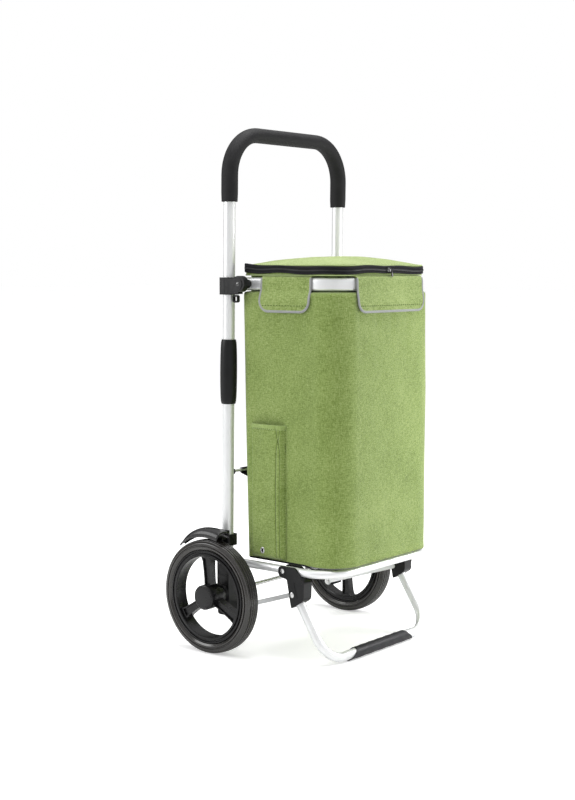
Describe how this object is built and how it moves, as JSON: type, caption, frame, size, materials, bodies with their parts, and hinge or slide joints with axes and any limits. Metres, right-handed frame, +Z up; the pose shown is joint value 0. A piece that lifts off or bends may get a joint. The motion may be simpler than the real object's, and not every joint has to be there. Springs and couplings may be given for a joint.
{
  "type": "folding shopping trolley",
  "caption": "Two-wheeled folding shopping trolley: aluminium tube frame with a fabric bag, spoked wheels and a folding front stand",
  "frame": {"origin": "on the ground, at the middle of the bounding box of the upright, open trolley", "axes": "+Z up, -Y to the front (the side with the stand), +X to the right seen from the front"},
  "size_m": [0.487, 0.3838, 1.02],
  "materials": {
    "satin_aluminium": "satin",
    "plated_steel": "satin",
    "black_foam": "matt",
    "black_plastic": "satin",
    "tyre_rubber": "matt",
    "white_nylon": "matt",
    "green_fabric": "woven",
    "black_webbing": "woven",
    "grey_board": "matt"
  },
  "bodies": {
    "main_frame": {"axle": "plated_steel", "axle_block_left": "black_plastic", "axle_block_right": "black_plastic", "axle_clip_left": "plated_steel", "axle_clip_right": "plated_steel", "bag_back_strap": "black_webbing", "bag_body": "green_fabric", "bag_floor_board": "grey_board", "base_pivot_pin_left": "plated_steel", "base_pivot_pin_right": "plated_steel", "cross_rod": "plated_steel", "fender_clamp_left": "black_plastic", "fender_clamp_right": "black_plastic", "fender_left": "black_plastic", "fender_right": "black_plastic", "handle_grip": "black_foam", "handle_spigot_left": "plated_steel", "handle_spigot_right": "plated_steel", "handle_tube": "satin_aluminium", "joint_sleeve_left": "black_plastic", "joint_sleeve_right": "black_plastic", "link_pivot_pin_left": "plated_steel", "link_pivot_pin_right": "plated_steel", "lock_loop_left": "black_plastic", "lock_loop_right": "black_plastic", "pocket_eyelet": "plated_steel", "top_bracket_left": "black_plastic", "top_bracket_right": "black_plastic", "top_pivot_rivet_left": "plated_steel", "top_pivot_rivet_right": "plated_steel", "umbrella_pocket": "green_fabric", "upright_left": "satin_aluminium", "upright_right": "satin_aluminium", "zip_tape_lower": "black_webbing"},
    "top_ring": {"top_bar": "satin_aluminium", "flap_left": "green_fabric", "flap_front": "green_fabric", "flap_right": "green_fabric"},
    "base_frame": {"base_tube": "satin_aluminium", "stand_pivot_rivet_left": "plated_steel", "stand_pivot_rivet_right": "plated_steel"},
    "front_stand": {"stand_bracket_left": "black_plastic", "stand_bracket_right": "black_plastic", "stand_tube": "satin_aluminium", "foot_sleeve": "black_plastic", "link_rivet_left": "plated_steel", "link_rivet_right": "plated_steel"},
    "side_link_left": {"link_left": "satin_aluminium"},
    "side_link_right": {"link_right": "satin_aluminium"},
    "wheel_left": {"tyre_left": "tyre_rubber", "wheel_rim_left": "black_plastic", "wheel_bush_left": "white_nylon", "hub_cap_left": "black_plastic"},
    "wheel_right": {"tyre_right": "tyre_rubber", "wheel_rim_right": "black_plastic", "wheel_bush_right": "white_nylon", "hub_cap_right": "black_plastic"},
    "bag_lid": {"lid_panel": "green_fabric", "zip_tape_upper": "black_webbing"},
    "slider": {"zip_slider": "plated_steel"}
  },
  "joints": [
    {"name": "base_fold", "type": "hinge", "parent": "main_frame", "child": "base_frame", "pos_m": [0, 0.0464, 0.174], "axis": [-1, 0, 0], "range_deg": [0, 90], "deforming": ["bag_body", "bag_floor_board", "umbrella_pocket", "pocket_eyelet"]},
    {"name": "stand_fold", "type": "hinge", "parent": "base_frame", "child": "front_stand", "pos_m": [0, -0.0676, 0.174], "axis": [1, 0, 0], "range_deg": [0, 90]},
    {"name": "link_left_swing", "type": "hinge", "parent": "main_frame", "child": "side_link_left", "pos_m": [-0.153, 0.0794, 0.075], "axis": [-1, 0, 0], "range_deg": [0, 53.64]},
    {"name": "link_right_swing", "type": "hinge", "parent": "main_frame", "child": "side_link_right", "pos_m": [0.153, 0.0794, 0.075], "axis": [-1, 0, 0], "range_deg": [0, 53.64]},
    {"name": "top_ring_fold", "type": "hinge", "parent": "main_frame", "child": "top_ring", "pos_m": [0, 0.0374, 0.7177], "axis": [1, 0, 0], "range_deg": [0, 90], "deforming": ["flap_left", "flap_front", "flap_right"]},
    {"name": "wheel_left_spin", "type": "hinge", "parent": "main_frame", "child": "wheel_left", "pos_m": [-0.22, 0.0804, 0.1115], "axis": [1, 0, 0], "continuous": true},
    {"name": "wheel_right_spin", "type": "hinge", "parent": "main_frame", "child": "wheel_right", "pos_m": [0.22, 0.0804, 0.1115], "axis": [1, 0, 0], "continuous": true},
    {"name": "lid_hinge", "type": "hinge", "parent": "main_frame", "child": "bag_lid", "pos_m": [0, 0.0529, 0.7446], "axis": [-1, 0, 0], "range_deg": [0, 100]},
    {"name": "zip_slide", "type": "slide", "parent": "main_frame", "child": "slider", "axis": [1, 0, 0], "range_m": [-0.09, 0.09]}
  ],
  "couplings": [
    {"joint": "stand_fold", "follows": "base_fold", "ratio": 1},
    {"joint": "link_left_swing", "follows": "base_fold", "ratio": 0.59483},
    {"joint": "link_right_swing", "follows": "base_fold", "ratio": 0.59483},
    {"joint": "top_ring_fold", "follows": "base_fold", "ratio": 1}
  ]
}
